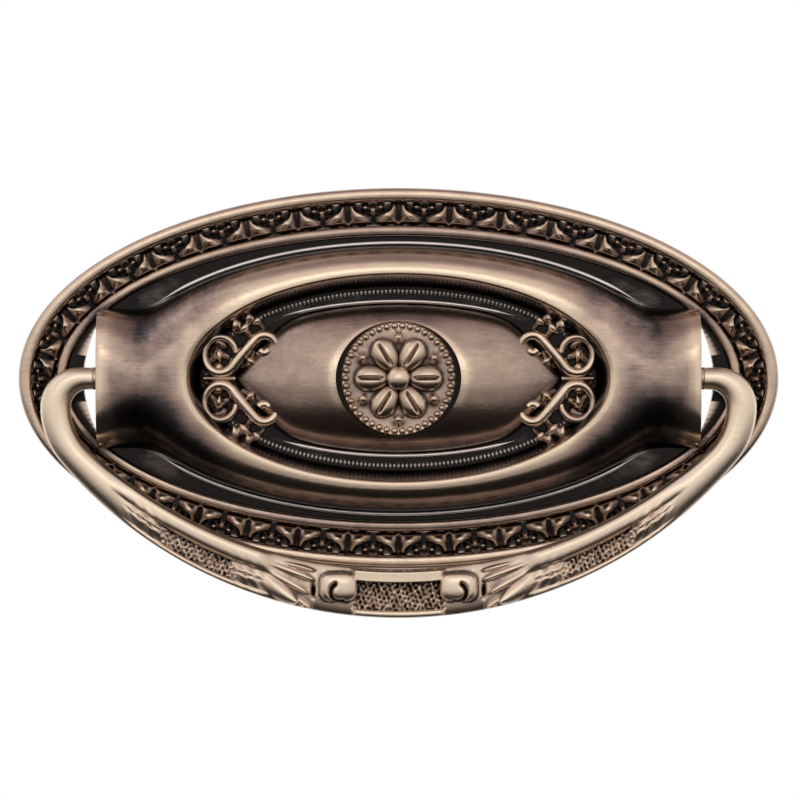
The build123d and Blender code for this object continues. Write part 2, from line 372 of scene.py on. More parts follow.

# %% [markdown]
# ## What every piece needs
# A casting has soft faces and a few crisp creases, so faces are shaded smooth and only sharp folds are
# kept. Each piece is also told which body carries it and which finish it uses, and its fine relief is
# measured.

# %% Finish a piece


def settle(mesh, body, finish, rounds, crease=50, wear_and_highlight=0.0):
    """Smooth shading with crisp creases, the finish, the body that carries the piece, and its fine relief."""
    mesh.polygons.foreach_set("use_smooth", [True] * len(mesh.polygons))
    mesh.set_sharp_from_angle(angle=math.radians(crease))
    mesh.materials.clear()
    mesh.materials.append(finish)
    piece = link(mesh)
    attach(piece, body)
    # A lift to the relief: wear on most pieces, and a painted highlight on the thin lines.
    fine[piece.name] = stands_out(mesh, rounds) + wear_and_highlight
    print(piece.name, len(mesh.polygons), "faces")
    return piece


# %% [markdown]
# ## Border of the plate
# The border is a flat oval ring with a round rim outside, a channel for the leaves, and a bead inside. Its
# section is the same all round, so it is a grid: one list of section points, repeated round the oval. Every
# line of the section is an oval with its own two half-axes, which keeps the mouldings as wide at the ends
# as at the top.

# %% Border
half_width, half_height = 41.25, 20.7
flange, edge_break = 1.1, 0.15
rim_width, rim_level = 1.55, 2.2
band_width = 2.5
bead_width, bead_level = 1.25, 2.0
hollow = (30.9, 13.15)


def roll(start, width, foot, crest, steps, squareness=0.62):
    """Section of a round moulding, from its outer edge inward, as inset and height."""
    angle = np.linspace(0, math.pi, steps)
    inset = start + width / 2 * (1 - np.sign(np.cos(angle)) * np.abs(np.cos(angle)) ** squareness)
    return list(zip(inset, foot + (crest - foot) * np.sin(angle) ** 0.8))


def oval_rows(section, columns):
    """Rows of points round the oval for a section of half-width, half-height and level."""
    angle = np.linspace(0, TURN, columns, endpoint=False)[None, :]
    wide, tall, level = (np.array(part)[:, None] for part in zip(*section))
    return wide * np.cos(angle), level + 0 * angle, tall * np.sin(angle)


section = [(edge_break, 0.0), (0.0, edge_break), (0.0, 0.9)]
section += roll(0.0, rim_width, flange, rim_level, 15)
section += [(rim_width + band_width * share, flange) for share in (0.05, 0.5, 0.95)]
section += roll(rim_width + band_width, bead_width, flange, bead_level, 13)
border_section = [(half_width - inset, half_height - inset, level) for inset, level in section]
inner_inset = rim_width + band_width + bead_width
for share in (0.06, 0.3, 0.6, 1.0):
    bead_edge = (half_width - inner_inset, half_height - inner_inset)
    border_section.append((*between(bead_edge, hollow, share), flange))
border_section += [(*hollow, 0.0)]
for share in (0.33, 0.66):
    back_edge = (half_width - edge_break, half_height - edge_break)
    border_section.append((*between(hollow, back_edge, share), 0.0))
border = grid_mesh("plate_border", *oval_rows(border_section, columns=540), close_rows=True)
face_outward(border)
print("border section of", len(border_section), "points")

# %% [markdown]
# ## Windows beside the sockets
# Light shows through the plate just outside each socket, in a slit with one straight and one bowed side. A
# Boolean modifier takes a bowed prism out of the border on each side, which gives clean walls through the
# flange.

# %% Windows
socket_end = 32.6
window_width, window_height = 1.6, 12.4
window_levels = (-1.0, 1.7)


def window_prism(side):
    """Prism with a straight side at the socket's end and a bowed side outside it."""
    rise = np.linspace(-1, 1, 25)
    bow = [(side * (socket_end + window_width * (1 - step * step)), step * window_height / 2)
           for step in rise]
    mesh = bpy.data.meshes.new("window")
    with edited(mesh) as shape:
        back, front = ([shape.verts.new((x * MM, -level * MM, z * MM)) for x, z in bow]
                       for level in window_levels)
        for ring in (back, front):
            shape.faces.new(ring)
        for index in range(len(bow)):
            after = (index + 1) % len(bow)
            shape.faces.new((back[index], back[after], front[after], front[index]))
    face_outward(mesh)
    return mesh


def cut(mesh, cutter):
    """The mesh less the cutter, as a plain mesh."""
    body, tool = link(mesh), link(cutter)
    boolean = body.modifiers.new("cut", "BOOLEAN")
    boolean.operation = "DIFFERENCE"
    boolean.solver = "EXACT"
    boolean.object = tool
    result = plain_mesh(body, mesh.name)
    bpy.data.meshes.remove(cutter)
    return result


for side in (-1, 1):
    border = cut(border, window_prism(side))
settle(border, "plate", plate_brass, rounds=6)

# %% [markdown]
# ## Shell of the plate
# Inside the border the plate swells into a dome. Two half-round sockets run into it from the ends, an oval
# recess is sunk in its top, and an eye-shaped boss rises again in the recess. All of this is one height
# over the drawing, so the rows of the grid follow the foot, the ridge, the recess and the round pocket of
# the rosette. The sockets meet the dome in a cove, which soft_max gives. The grid is then cut off at the
# socket ends, capped, and thickened inward by a Solidify modifier, as a casting has one wall all over.

# %% Heights of the shell
foot = (31.2, 14.45)
ridge, ridge_level = (22.9, 11.4), 7.0
recess, recess_level = (21.3, 9.9), 4.2
socket_width, socket_level = 7.6, 7.4
pocket, pocket_level = (6.75, 6.15), 6.2
post_hole = 3.05
boss_width, boss_height, boss_tip, boss_rise = 21.2, 8.1, 17.4, 3.9
skirt = 0.4
dome_fullness = 2.4
socket_waist = 27.4


def socket_height(x, z):
    """Socket along X: round in its middle, flatter on top at both ends, wider where it runs into the dome."""
    out = np.abs(x)
    flare = smooth_step(29.0 - out, 0, 13.0)
    width = socket_width + 4.4 * flare
    level = socket_level - 0.5 * ((out - 27.8) / 4.9) ** 2 - 4.0 * smooth_step(20.0 - out, 0, 8.0)
    across = np.abs(z) / width
    fullness = 2.0 + np.clip(((out - socket_waist) / 4.9) ** 2, 0, 1)
    crown = np.clip(1 - np.minimum(across, 0.99) ** fullness, 0, 1) ** (1 / fullness)
    return np.where(across < 0.99, level * crown, level * crown - (across - 0.99) * 60)


def boss_height_at(x, z):
    """Eye-shaped vault: an oval cut to a soft point at each end."""
    out, across = np.abs(x), np.abs(z)
    oval = boss_height * np.sqrt(np.clip(1 - (out / boss_width) ** 2, 0, 1))
    wedge = 1.25 * (boss_tip + 0.5 - out)
    edge = 0.5 * (oval + wedge - np.sqrt((oval - wedge) ** 2 + 2.5))
    share = across / np.maximum(edge, 0.03)
    rise = boss_rise * np.clip(1 - (out / (boss_tip + 0.3)) ** 2, 0, 1) ** 0.8
    vault = rise * np.clip(1 - share**2, 0, 1) ** 0.66
    return recess_level + vault


def shell_grid(columns):
    """The grid of the shell: x, height and z, from outside the foot to the post hole."""
    rows = []
    for share in np.linspace(1, 0.04, 24):
        rows.append((foot[0] + 7.4 * share, foot[1] + 0.8 * share, -3.0, 0))
    for turn in np.linspace(0, math.pi / 2, 38):
        spread = math.cos(turn) ** (2 / dome_fullness) if turn < math.pi / 2 - 1e-6 else 0.0
        rows.append((*between(ridge, foot, spread), ridge_level * math.sin(turn) ** (2 / dome_fullness), 1))
    for share in np.linspace(0.1, 1, 13):
        drop = smooth_step(share, 0.05, 1.0)
        rows.append((*between(ridge, recess, share), ridge_level - (ridge_level - recess_level) * drop, 2))
    for share in np.linspace(0.02, 1, 66):
        rows.append((*between(recess, pocket, share), recess_level, 3))
    rows.append((pocket[0] - 0.05, pocket[1] - 0.05, pocket_level, 4))
    for radius in (5.4, 4.2, post_hole):
        rows.append((radius, radius, pocket_level, 4))
    wide, tall, level, zone = (np.array(part)[:, None] for part in zip(*rows))
    angle = np.linspace(0, TURN, columns, endpoint=False)[None, :]
    x, z = wide * np.cos(angle), tall * np.sin(angle)
    height = level + 0 * angle
    outside = (zone <= 1) & (np.abs(x) > 12)
    height = np.where(outside, soft_max(height, socket_height(x, z), 1.6), height)
    height = np.where(zone == 3, np.maximum(height, boss_height_at(x, z)), height)
    return x, height, z


shell = grid_mesh("plate_shell", *shell_grid(columns=330))
print("shell grid of", len(shell.vertices), "points")

# %% [markdown]
# ## A hollow casting
# The real plate is cast thin, with a hollow behind the dome, to save metal. The height field is therefore
# cut off at the back and at the two socket ends. A flat wall with the bore for the pin closes each socket,
# and the sheet is then thickened inward. The film is left darker at the foot of the dome, where a cloth
# hardly reaches. The lower slopes below the ridge and the sockets are darkened as well. This is painted
# shade that stands in for the dark room they reflect. Solidify lists the points of the inner skin after
# those of the outer one, and the inner skin stays dark throughout.

# %% Cut, cap and thicken the shell
pin_bore, pivot_level, bore_steps = 1.25, 4.3, 28
shell_wall = 1.2


def trim(shape, point, direction):
    """Cuts a shape by a plane and drops the side that the direction points to."""
    everything = shape.verts[:] + shape.edges[:] + shape.faces[:]
    bmesh.ops.bisect_plane(shape, geom=everything, dist=1e-8, plane_co=point, plane_no=direction,
                           clear_outer=True)


def cap_socket(shape, side):
    """Closes the cut end of a socket with a flat wall that has the pin's bore in it."""
    place = side * socket_end * MM
    arch = [edge for edge in shape.edges if edge.is_boundary
            and all(abs(vert.co.x - place) < 1e-6 for vert in edge.verts)]
    ends = [vert for vert in {vert for edge in arch for vert in edge.verts}
            if sum(edge in arch for edge in vert.link_edges) == 1]
    base = shape.edges.new(ends)
    hole = []
    for step in range(bore_steps):
        turn = TURN * step / bore_steps
        level = pivot_level + pin_bore * math.sin(turn)
        hole.append(shape.verts.new((place, -level * MM, pin_bore * math.cos(turn) * MM)))
    ring = [shape.edges.new((hole[step], hole[(step + 1) % bore_steps])) for step in range(bore_steps)]
    bmesh.ops.triangle_fill(shape, use_beauty=True, edges=arch + [base] + ring)


with edited(shell) as shape:
    trim(shape, (0, -skirt * MM, 0), (0, 1, 0))
    for side in (-1, 1):
        trim(shape, (side * socket_end * MM, 0, 0), (side, 0, 0))
        cap_socket(shape, side)
    bmesh.ops.recalc_face_normals(shape, faces=shape.faces)
    forward = sum(face.normal.y * face.calc_area() for face in shape.faces)
    if forward > 0:
        bmesh.ops.reverse_faces(shape, faces=shape.faces)
thick = link(shell)
wall = thick.modifiers.new("wall", "SOLIDIFY")
wall.thickness = shell_wall * MM
wall.offset = -1.0
shell_mesh = plain_mesh(thick, "plate_shell")
shell_piece = settle(shell_mesh, "plate", plate_brass, rounds=16, crease=80)
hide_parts("backplate")
shell_points = read_points(shell_mesh)
shell_out, shell_front, shell_down = np.abs(shell_points[:, 0]), -shell_points[:, 1], -shell_points[:, 2]
foot_dark = 0.42 * (1 - smooth_step(shell_front, 1.7, 4.4))
from_ridge = np.hypot(shell_out / ridge[0], shell_down / ridge[1])
# Painted shade: the dome outside and below the ridge is darkened towards the bottom.
painted_under_shade = 0.13 * smooth_step(from_ridge, 1.03, 1.15) * smooth_step(shell_down, 0.5, 4.0)
# Painted shade: the sockets are darkened, a little less at their waist.
painted_socket_shade = 0.22 * smooth_step(shell_out, 15.0, 22.0) - 0.1 * bell(shell_out - socket_waist, 3.0)
fine[shell_piece.name] *= smooth_step(shell_front, 1.3, 2.6)
fine[shell_piece.name] -= foot_dark + painted_under_shade + painted_socket_shade
inner_from, inner_film = len(shell_points) // 2, -0.2
fine[shell_piece.name][inner_from:] = inner_film

# %% [markdown]
# ## Leaf band
# The channel of the border carries a leaf-and-dart ornament: a broad leaf of two lobes, narrow at the rim,
# with a small dart in the dark wedge between two leaves. One unit is drawn as a height over a small flat
# grid. Geometry Nodes then sets the units side by side along a line and bends that line onto the oval: each
# point's distance along the line finds its place on the curve, its width goes inward from there, and its
# height comes forward. Bending the joined strip keeps neighbours in touch at the tight ends, where separate
# flat copies would gape.

# %% One leaf unit
leaf_count = 34
channel_oval = (half_width - rim_width, half_height - rim_width)
oval_steps = np.linspace(0, TURN, 4001)
oval_line = np.stack([channel_oval[0] * np.cos(oval_steps), channel_oval[1] * np.sin(oval_steps)], -1)
channel_length = float(np.linalg.norm(np.diff(oval_line, axis=0), axis=1).sum())
leaf_pitch = channel_length / leaf_count


def bump(x, y, at_x, at_y, wide, tall, lift):
    """Round swelling on the drawing."""
    return lift * np.exp(-(((x - at_x) / wide) ** 2) - (((y - at_y) / tall) ** 2))


def leaf_height(along, inward):
    """Height of one unit over the channel: a ribbed leaf of two lobes, and a small dart at its ends."""
    half = leaf_pitch / 2
    spread = 0.8 + (half - 0.92) * smooth_step(inward, 0.55, 1.75)
    reach = np.abs(along) / spread
    ends = plateau(inward, 0.02, 0.35, 2.05, 2.4)
    body = 0.66 * np.clip(1 - reach**3, 0, 1) ** 0.5 * ends
    lobes = bump(np.abs(along), inward, 1.25, 1.4, 0.7, 0.66, 0.55) * ends
    edge = 0.12 * bell(reach - 0.72, 0.16) * ends
    rib = 0.07 * np.cos(np.arctan2(along, inward + 0.4) * 12) * ends
    groove = 0.55 * bell(along, 0.3)
    leaf = np.where(body > 0.02, body + lobes + edge + rib - groove * ends, 0)
    off = half - np.abs(along)
    dart = bump(off, inward, 0, 0.85, 0.36, 0.46, 0.75) - bump(off, inward, 0, 0.85, 0.09, 0.34, 0.25)
    twins = bump(off, inward, 0.85, 0.5, 0.32, 0.3, 0.55)
    dot = bump(along, inward, 0, 2.2, 0.3, 0.24, 0.75)
    return np.maximum.reduce([leaf, dart, twins, dot])


unit_columns, unit_rows = 45, 25
unit_along, unit_inward = np.meshgrid(np.linspace(-leaf_pitch / 2, leaf_pitch / 2, unit_columns),
                                      np.linspace(0, band_width, unit_rows))
unit_lift = leaf_height(unit_along, unit_inward)
unit = bpy.data.meshes.new("leaf_unit")
unit_points = np.stack([unit_along + leaf_pitch / 2, unit_inward, unit_lift], -1).reshape(-1, 3) * MM
corner = (np.arange(unit_rows - 1)[:, None] * unit_columns + np.arange(unit_columns - 1)).ravel()
unit_faces = np.stack([corner, corner + 1, corner + unit_columns + 1, corner + unit_columns], -1).tolist()
unit.from_pydata(unit_points.tolist(), [], unit_faces)
print("leaf unit of", len(unit_faces), "faces,", round(leaf_pitch, 2), "mm wide")

# %% [markdown]
# ## Nodes for the leaf band
# The nodes lay copies of the unit in a row, join them, and then move every point: its place in the row
# becomes a place on the oval. The inputs are the count, the pitch, the half axes of the oval, the level of
# the channel's floor and the finish, so the same nodes would serve another oval.

# %% Wrap the units round the oval


def node_group(name, inputs):
    """Node group with a geometry in and out and further named inputs; gives the group and what it gets."""
    tree = bpy.data.node_groups.new(name, "GeometryNodeTree")
    tree.interface.new_socket("Geometry", in_out="OUTPUT", socket_type="NodeSocketGeometry")
    for label, kind in {"Geometry": "Geometry", **inputs}.items():
        tree.interface.new_socket(label, in_out="INPUT", socket_type="NodeSocket" + kind)
    return tree, tree.nodes.new("NodeGroupInput").outputs


def oval_curve(tree, half_axes, resolution, **place):
    """Node for an oval curve with given half axes."""
    circle = add_node(tree, "GeometryNodeCurvePrimitiveCircle", Resolution=resolution, Radius=1.0)
    return add_node(tree, "GeometryNodeTransform", {"Geometry": circle, "Scale": half_axes, **place})


def finish_group(tree, given, last):
    """Sets the material on the last node's geometry and hands it out."""
    finish = add_node(tree, "GeometryNodeSetMaterial", {"Geometry": last, "Material": given["Finish"]})
    add_node(tree, "NodeGroupOutput", {"Geometry": finish})
    return tree


vectors = "ShaderNodeVectorMath"


def wrap_tree():
    """Node group: copies of a unit in a line, bent onto an oval."""
    tree, given = node_group("leaf_wrap", {"Count": "Int", "Pitch": "Float", "Half Axes": "Vector",
                                           "Floor": "Float", "Finish": "Material"})
    step = add_node(tree, "ShaderNodeCombineXYZ", {"X": given["Pitch"]})
    line = add_node(tree, "GeometryNodeMeshLine", {"Count": given["Count"], "Offset": step})
    copies = add_node(tree, "GeometryNodeInstanceOnPoints", {"Points": line, "Instance": given["Geometry"]})
    real = add_node(tree, "GeometryNodeRealizeInstances", {"Geometry": copies})

    oval = oval_curve(tree, given["Half Axes"], 1440)
    place = add_node(tree, "GeometryNodeInputPosition")
    parts = add_node(tree, "ShaderNodeSeparateXYZ", {"Vector": place}).outputs
    total = calculate(tree, "MULTIPLY", given["Count"], given["Pitch"])
    turn = calculate(tree, "FRACT", calculate(tree, "DIVIDE", parts["X"], total))
    sample = add_node(tree, "GeometryNodeSampleCurve", {"Curves": oval, "Factor": turn},
                      mode="FACTOR", use_all_curves=True).outputs
    inward = calculate(tree, "CROSS_PRODUCT", (0, 0, 1), sample["Tangent"], kind=vectors)
    across = add_node(tree, vectors, {0: inward, "Scale": parts["Y"]}, operation="SCALE")
    lift = calculate(tree, "ADD", parts["Z"], given["Floor"])
    up = add_node(tree, "ShaderNodeCombineXYZ", {"Z": lift})
    on_oval = calculate(tree, "ADD", sample["Position"], across, kind=vectors)
    raised = calculate(tree, "ADD", on_oval, up, kind=vectors)
    bend = add_node(tree, "GeometryNodeSetPosition", {"Geometry": real, "Position": raised})
    weld = add_node(tree, "GeometryNodeMergeByDistance", {"Geometry": bend}, Distance=0.00002)
    return finish_group(tree, given, weld)


def run_nodes(mesh, tree, name, **inputs):
    """Runs a node group on a mesh and gives back the result as a plain mesh."""
    carrier = link(mesh)
    modifier = carrier.modifiers.new("nodes", "NODES")
    modifier.node_group = tree
    for item in tree.interface.items_tree:
        key = item.name.lower().replace(" ", "_")
        if item.in_out == "INPUT" and key in inputs:
            modifier[item.identifier] = inputs[key]
    carrier.update_tag()
    return plain_mesh(carrier, name)


band = run_nodes(unit, wrap_tree(), "leaf_band", count=leaf_count, pitch=leaf_pitch * MM,
                 half_axes=(channel_oval[0] * MM, channel_oval[1] * MM, 1.0),
                 floor=flange * MM, finish=plate_brass)
stand_up(band)
print("leaf band of", len(band.polygons), "faces before its back")

# %% [markdown]
# ## A plain mesh from the nodes
# The strip that the nodes make is a skin with two open edges. Both edges are drawn back into the metal and
# bridged behind, so the band is one closed piece that lies in the channel of the border.

# %% Close the leaf band
band_back = 0.5
with edited(band) as shape:
    edge_loops = [edge for edge in shape.edges if edge.is_boundary]
    print("open edges:", len(edge_loops))
    for item in bmesh.ops.extrude_edge_only(shape, edges=edge_loops)["geom"]:
        if isinstance(item, bmesh.types.BMVert):
            item.co.y = -band_back * MM
    lower = [edge for edge in shape.edges if edge.is_boundary]
    bmesh.ops.bridge_loops(shape, edges=lower)
    bmesh.ops.recalc_face_normals(shape, faces=shape.faces)
settle(band, "plate", plate_brass, rounds=10, crease=75)

# %% [markdown]
# ## Beaded lines
# A fine line of beads runs round the floor of the recess, and a ring of larger beads edges the rosette. On
# a casting such beads are cut into the pattern one by one at an even step. One small node group does both:
# it puts a ball on each of a number of points along an oval, and its named inputs give the oval, the number
# and the ball.

# %% Bead nodes


def bead_tree():
    """Node group: balls at even steps along an oval that faces forward."""
    tree, given = node_group("bead_line", {"Count": "Int", "Half Axes": "Vector", "Level": "Float",
                                           "Ball": "Vector", "Finish": "Material"})
    lift = add_node(tree, "ShaderNodeCombineXYZ", {"Z": given["Level"]})
    oval = oval_curve(tree, given["Half Axes"], 720, Translation=lift)
    points = add_node(tree, "GeometryNodeCurveToPoints", {"Curve": oval, "Count": given["Count"]},
                      mode="COUNT")
    face = add_node(tree, "FunctionNodeAlignRotationToVector", {"Vector": points.outputs["Tangent"]},
                    axis="X")
    ball = add_node(tree, "GeometryNodeMeshUVSphere", Segments=14, Rings=9, Radius=1.0)
    copies = add_node(tree, "GeometryNodeInstanceOnPoints",
                      {"Points": points, "Instance": ball, "Rotation": face, "Scale": given["Ball"]})
    return finish_group(tree, given, add_node(tree, "GeometryNodeRealizeInstances", {"Geometry": copies}))


bead_nodes = bead_tree()


def bead_line(name, finish, count, half_axes, level, ball, wear_and_highlight=0.0):
    """Line of beads on the plate, facing forward."""
    made = run_nodes(bpy.data.meshes.new(name + "_seed"), bead_nodes, name, count=count, level=level * MM,
                     half_axes=(half_axes[0] * MM, half_axes[1] * MM, 1.0),
                     ball=[size * MM for size in ball], finish=finish)
    stand_up(made)
    face_outward(made)
    settle(made, "plate", finish, rounds=3, wear_and_highlight=wear_and_highlight)


bead_line("recess_beads", cool_sheen_brass, count=220, half_axes=(20.8, 9.45), level=recess_level + 0.22,
          ball=(0.2, 0.36, 0.42), wear_and_highlight=0.08)

# %% [markdown]
# ## Scrolls
# Four S-shaped scrolls fill the ends of the recess. Each is a band that hooks round beside the boss, swings
# outward and closes into a loop round a dark eye, with small acanthus leaves springing from it. A carver
# leaves such a band round on top and sinks its sides, so it is a tube that is taller than it is wide. The
# path is made of arcs, and the lower right scroll is turned over for the other three.

# %% Scroll paths
hook_centre, hook_radius = (14.5, -3.35), 1.35
loop_centre, loop_wide, loop_tall = (19.25, -2.55), 1.75, 1.95


def arc_points(centre, wide, tall, start, end, steps):
    """Points along an oval arc, angles in degrees."""
    angle = np.radians(np.linspace(start, end, steps))
    return [(centre[0] + wide * math.cos(a), centre[1] + tall * math.sin(a)) for a in angle]


def even_path(points, steps):
    """The same line with evenly spaced points, rounded at its joints."""
    points = np.array(points)
    for _ in range(3):
        points[1:-1] = (points[:-2] + 2 * points[1:-1] + points[2:]) / 4
    run = np.concatenate([[0], np.cumsum(np.linalg.norm(np.diff(points, axis=0), axis=1))])
    even = np.linspace(0, run[-1], steps)
    return np.stack([np.interp(even, run, points[:, axis]) for axis in range(2)], -1)


def leaf_tube(root, tip, bend, width, lift, lobes):
    """Small lobed leaf: a flat tube whose width swells and nods along a bent line."""
    share = np.linspace(0, 1, 34)
    root, tip = np.array(root), np.array(tip)
    side = np.array([-(tip - root)[1], (tip - root)[0]])
    line = root + (tip - root) * share[:, None] + side * (bend * np.sin(math.pi * share))[:, None]
    radii = width * np.sin(math.pi * np.clip(share, 0.03, 0.97)) ** 0.6
    radii *= 0.8 + 0.2 * np.cos(TURN * lobes * share)
    path = np.stack([line[:, 0], recess_level + lift + 0.35 * np.sin(math.pi * share), line[:, 1]], -1)
    return tube("leaf", path, radii, flatten=1.1)


scroll_leaves = [
    ((20.5, -1.6), (18.0, -2.1), 0.25, 0.85, 0.25, 2),
    ((20.3, -3.9), (18.5, -3.0), 0.2, 0.6, 0.2, 1),
    ((15.8, -4.2), (19.2, -5.5), -0.25, 0.95, 0.3, 3),
    ((14.4, -5.2), (17.6, -6.4), -0.2, 0.7, 0.2, 3),
    ((21.0, -0.9), (18.0, -0.55), 0.15, 0.6, 0.2, 2),
    ((15.6, -3.2), (17.2, -1.2), 0.2, 0.65, 0.2, 2),
]


def scroll():
    """One scroll with its leaves, in the lower right of the recess."""
    line = arc_points(hook_centre, hook_radius, hook_radius, 165, 320, 26)
    line += arc_points(loop_centre, loop_wide, loop_tall, 158, -172, 60)
    flat = even_path(line, 120)
    share = np.linspace(0, 1, len(flat))
    radii = 0.54 + 0.2 * np.sin(math.pi * np.clip(share * 1.5, 0, 1)) - 0.08 * share
    level = recess_level + 0.3 + 0.2 * np.sin(math.pi * share)
    band = tube("scroll_band", np.stack([flat[:, 0], level, flat[:, 1]], -1), radii, flatten=1.7)
    knob = arc_points(hook_centre, 0.6, 0.6, 150, 30, 8)
    curl = tube("curl", [(x, recess_level + 0.3, z) for x, z in knob], np.full(8, 0.62), flatten=1.9)
    leaves = [leaf_tube(*leaf) for leaf in scroll_leaves]
    return join("scroll", [band, curl] + leaves)


def turned(mesh, across, up):
    """Copy of a mesh turned over left to right or top to bottom."""
    copy = mesh.copy()
    for vert in copy.vertices:
        vert.co.x *= across
        vert.co.z *= up
    return copy


def thin_line(wide, tall, start, level, radius, up):
    """Thin raised line along an oval, tapered at both ends."""
    angle = np.radians(np.linspace(start, 180 - start, 150))
    share = np.linspace(0, 1, len(angle))
    taper = np.clip(np.minimum(share, 1 - share) * 12, 0.12, 1)
    path = [(wide * math.cos(a), level, up * tall * math.sin(a)) for a in angle]
    return tube("line", path, radius * taper, flatten=1.2)


lines = [thin_line(foot[0] + 0.25, foot[1] + 0.25, start=33, level=flange + 0.15, radius=0.34, up=up)
         for up in (-1, 1)]
lines += [thin_line(boss_width, boss_height + 0.25, start=54, level=recess_level + 0.1, radius=0.24, up=up)
          for up in (-1, 1)]
thin_lines = join("thin_lines", lines)
face_outward(thin_lines, merge=0.002)
# The thin lines are lifted towards the crest tones: a painted highlight for the bright line along the foot of
# the dome and round the boss.
settle(thin_lines, "plate", cool_sheen_brass, rounds=4, wear_and_highlight=0.45)
scroll_mesh = scroll()
four = [turned(scroll_mesh, across, up) for across in (-1, 1) for up in (-1, 1)]
bar_x, bar_radii = np.linspace(17.6, 21.0, 12), np.full(12, 0.24)
bars = [tube("bar", [(side * x, recess_level + 0.7, 0.0) for x in bar_x], bar_radii, flatten=2.0)
        for side in (-1, 1)]
scroll_set = join("scrolls", four + bars)
bpy.data.meshes.remove(scroll_mesh)
scroll_points = read_points(scroll_set)
scroll_floor = boss_height_at(scroll_points[:, 0], scroll_points[:, 2]) - 0.5
scroll_points[:, 1] = np.minimum(scroll_points[:, 1], -scroll_floor)
scroll_set.vertices.foreach_set("co", (scroll_points * MM).ravel())
face_outward(scroll_set, merge=0.002)
settle(scroll_set, "plate", plate_brass, rounds=8, crease=70, wear_and_highlight=-0.1)

# %% [markdown]
# ## Rosette
# The rosette is a flower on a disc: six spoon-shaped petals, each with a groove, a bud between every two,
# and a round knob in the middle. Its back is a post that goes through the plate and takes the screw. A grid
# of rings and spokes carries all of it, because the flower repeats round its axis and the post is round:
# the rings run from the knob out over the petals, round the edge, down the post and into the screw hole.

# %% Rosette
rosette_level, knob_radius, petal_count, spoke_count = 7.4, 1.25, 6, 252


def flower_height(radius, turn):
    """Height of the flower at a radius and an angle."""
    step = TURN / petal_count
    off = (turn + step / 2) % step - step / 2
    along, across = radius * np.cos(off), radius * np.sin(off)
    reach = np.sqrt(((along - 2.85) / 1.95) ** 2 + (across / (1.12 + 0.1 * along)) ** 2)
    petal = 1.05 * np.clip(1 - reach**2.6, 0, 1) ** 0.5
    petal -= 0.42 * bell(across, 0.17) * plateau(along, 1.4, 2.2, 3.9, 4.6)
    half = turn % step - step / 2
    bud = bump(radius * np.cos(half), radius * np.sin(half), 4.4, 0, 0.5, 0.5, 0.6)
    dome = np.sqrt(np.clip(1 - (radius / knob_radius) ** 2, 0, 1))
    knob = np.where(radius < knob_radius, 0.75 + 0.85 * dome, 0)
    return rosette_level - 0.25 + np.maximum.reduce([petal, bud, knob])


spokes = np.linspace(0, TURN, spoke_count, endpoint=False)[None, :]
flower_radii = np.concatenate([[PINPOINT], np.linspace(0.1, 6.0, 74)])[:, None]
flower = flower_height(flower_radii + 0 * spokes, spokes + 0 * flower_radii)
post_section = [(6.1, 7.25), (6.1, 6.4), (6.0, 6.25), (3.0, 6.25), (3.0, 4.9), (3.8, 4.9), (3.8, 4.2),
                (3.7, 4.1), (3.0, 4.1), (3.0, 0.05), (2.95, 0.0), (1.7, 0.0), (1.65, 0.05), (1.65, 5.2),
                (PINPOINT, 5.2)]
post_radii = np.array([radius for radius, _ in post_section])[:, None]
post_levels = np.array([level for _, level in post_section])[:, None] + 0 * spokes
all_radii = np.vstack([flower_radii, post_radii])
rosette = grid_mesh("rosette_flower", all_radii * np.cos(spokes), np.vstack([flower, post_levels]),
                    all_radii * np.sin(spokes))
face_outward(rosette, merge=0.0006)
rosette_piece = settle(rosette, "plate", rosette_brass, rounds=10)
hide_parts("rosette")
rosette_points = read_points(rosette)
on_knob = np.hypot(rosette_points[:, 0], rosette_points[:, 2]) < knob_radius
on_knob &= rosette_points[:, 1] < -7
fine[rosette_piece.name] += np.where(on_knob, 0.3, 0.1)
bead_line("rosette_beads", rosette_brass, count=42, half_axes=(5.66, 5.66), level=rosette_level - 0.1,
          ball=(0.38, 0.40, 0.46))

# %% [markdown]
# ## Bail
# The bail is one casting: two pins, a plain round loop outside each socket and an ornamented bow. Its two
# edges are lines of tangent arcs, as a bent handle has. The grid takes a station on both edges at the same
# share of each arc, so its rows lie square to the bail, and its columns run round the section. The front
# then gets its relief from heights over that grid: a rounded upper edge, sunk panels with a thin lower rim,
# a fan of leaf lobes and two volutes with a bar between them.

# %% Edges of the bail
loop_depth, loop_outer, loop_inner = 3.1, 38.7, 35.4
pin_radius, pin_end, shoulder = 1.2, 29.4, 33.0
bow_bottom, bow_top = -25.88, -20.6
half_thick, section_fullness = 1.55, 2.4


def edge_line(side, top, sweep, bottom, counts):
    """Points along one edge of the right half, from the shoulder over the loop to the middle."""
    fall = -loop_depth - bottom
    radius = ((side - sweep) ** 2 + fall**2 - sweep**2) / (2 * (fall - sweep))
    turn = math.degrees(math.atan2(fall - radius, side - sweep))
    crown = loop_depth + top
    straight = np.linspace(shoulder, side - crown, counts[0], endpoint=False)
    line = [(x, top) for x in straight]
    line += arc_points((side - crown, -loop_depth), crown, crown, 90, 0, counts[1])[:-1]
    line += arc_points((side - sweep, -loop_depth), sweep, sweep, 0, turn, counts[2])[:-1]
    line += arc_points((0, bottom + radius), radius, radius, turn, -90, counts[3])
    return np.array(line)


counts = (6, 40, 40, 380)
outer_half = edge_line(loop_outer, pin_radius, 9.0, bow_bottom, counts)
inner_half = edge_line(loop_inner, -pin_radius, 6.5, bow_top, counts)
mirror_x = np.array([-1.0, 1.0])
outer_edge = np.vstack([outer_half, outer_half[-2::-1] * mirror_x])
inner_edge = np.vstack([inner_half, inner_half[-2::-1] * mirror_x])
print("bail of", len(outer_edge), "stations")

